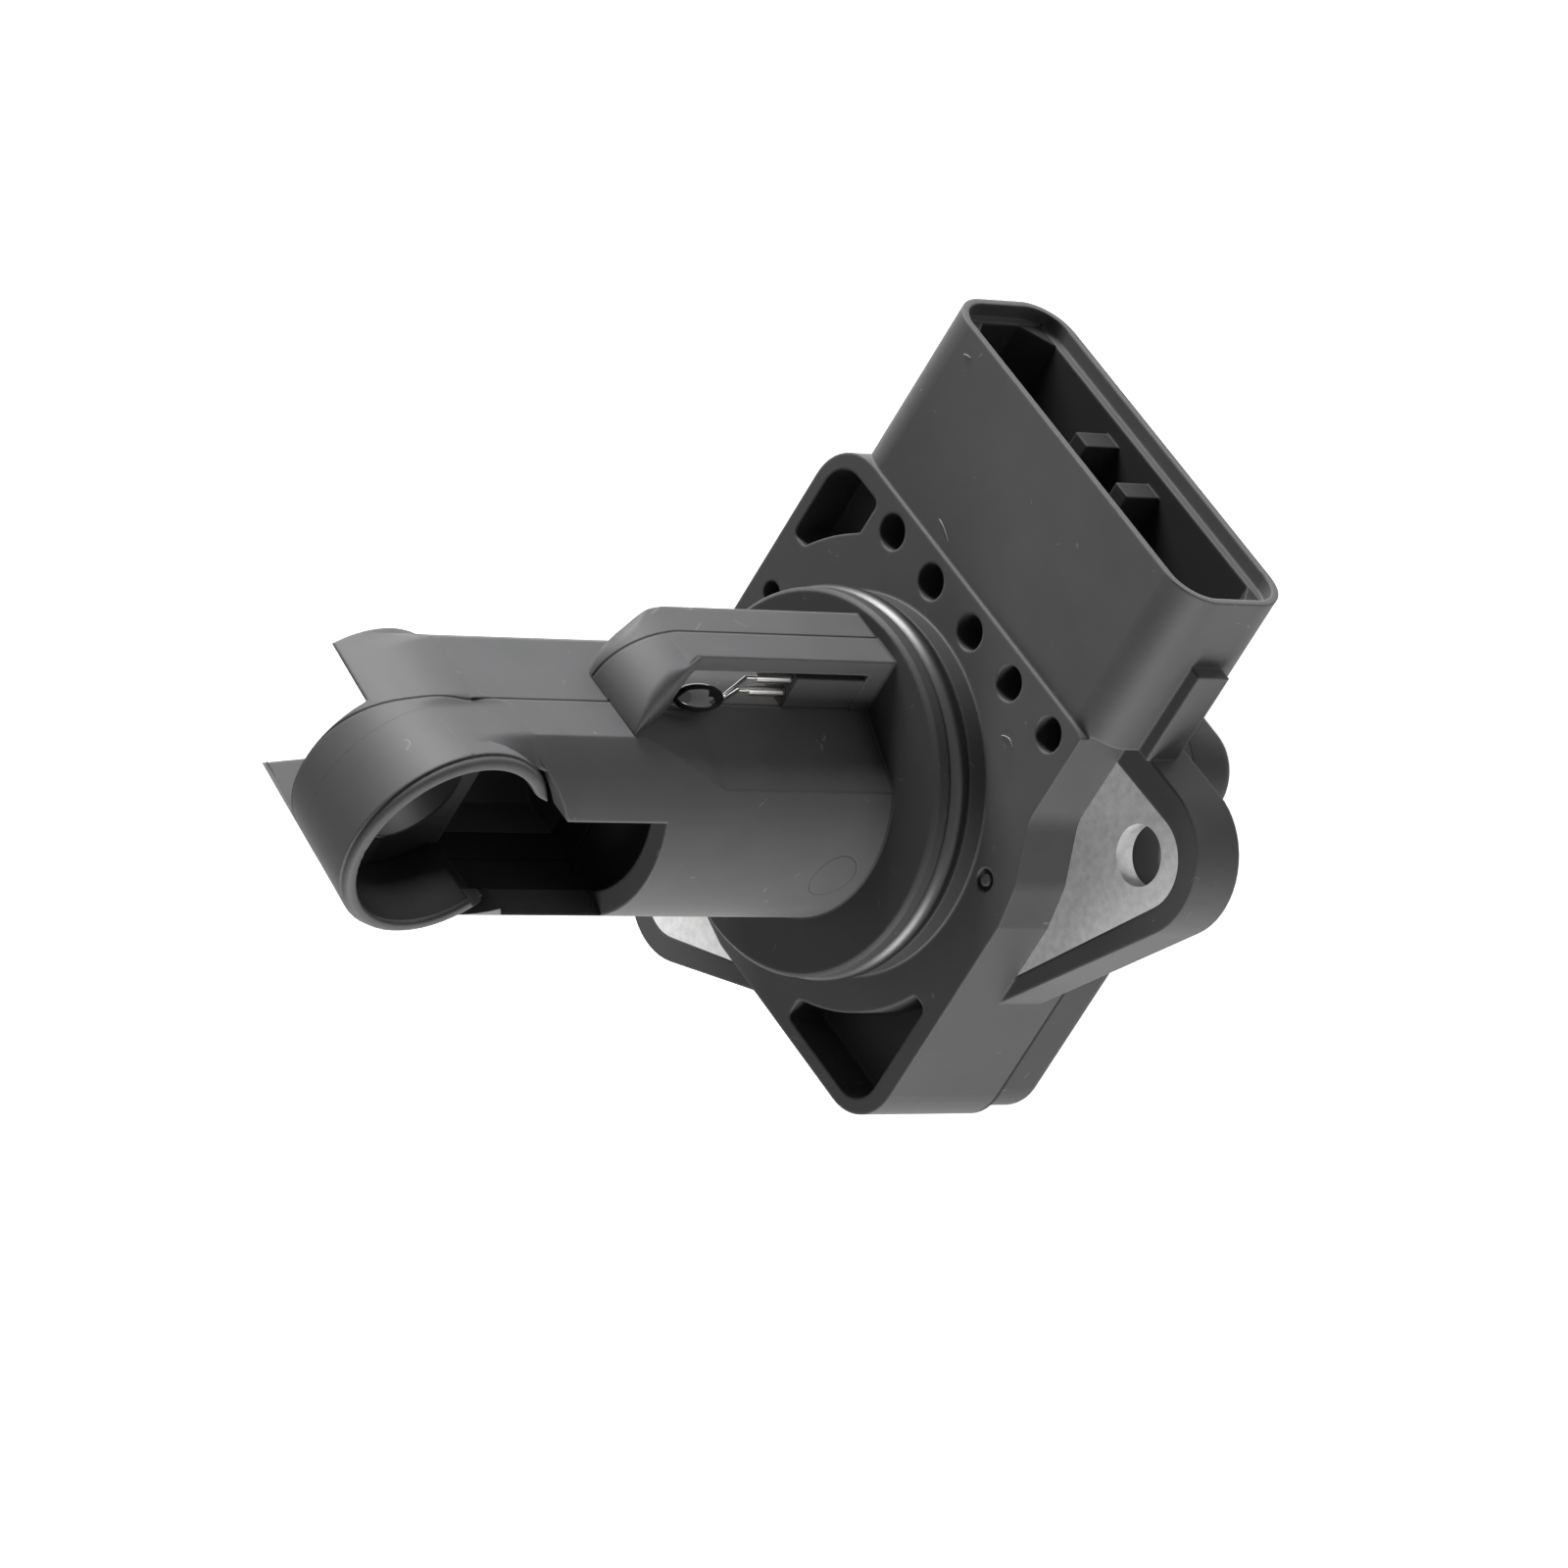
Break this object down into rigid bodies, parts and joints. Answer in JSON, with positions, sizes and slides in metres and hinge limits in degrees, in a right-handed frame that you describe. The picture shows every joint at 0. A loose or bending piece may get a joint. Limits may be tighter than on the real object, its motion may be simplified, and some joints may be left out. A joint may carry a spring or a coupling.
{
  "type": "mass airflow sensor",
  "caption": "Plug-in mass airflow sensor with a square head, screw ears, a sealed round plug, a side connector and a bypass probe.",
  "frame": {"origin": "centre of the round plug, in the plane of the head's front face", "axes": "+Z along the probe, away from the head; the two screws lie on a line along X; the connector points between +X and +Y"},
  "size_m": [0.0649, 0.059, 0.0681],
  "materials": {
    "housing_plastic": "moulded matte",
    "cover_plastic": "moulded matte",
    "adhesive": "cured",
    "seal_rubber": "smooth",
    "plated_steel": "zinc plated",
    "tinned_brass": "tinned",
    "board_ceramic": "fired",
    "chip_resin": "moulded",
    "capacitor_ceramic": "fired",
    "bright_wire": "bright",
    "element_glaze": "glazed",
    "bead_glass": "glazed"
  },
  "bodies": {
    "root": {"sensor_housing": "housing_plastic", "bypass_shell": "housing_plastic", "back_cover": "cover_plastic", "cover_adhesive": "adhesive", "plug_seal": "seal_rubber", "mounting_plate": "plated_steel", "terminal_1": "tinned_brass", "terminal_2": "tinned_brass", "terminal_3": "tinned_brass", "terminal_4": "tinned_brass", "terminal_5": "tinned_brass", "circuit_board": "board_ceramic", "signal_chip": "chip_resin", "board_capacitor_1": "capacitor_ceramic", "board_capacitor_2": "capacitor_ceramic", "bond_wires": "bright_wire", "heater_pin_1": "bright_wire", "heater_pin_2": "bright_wire", "reference_pin_1": "bright_wire", "reference_pin_2": "bright_wire", "temperature_pin_1": "bright_wire", "temperature_pin_2": "bright_wire", "heater_element": "element_glaze", "reference_element": "element_glaze", "temperature_bead": "bead_glass", "temperature_lead_1": "bright_wire", "temperature_lead_2": "bright_wire"}
  },
  "joints": []
}
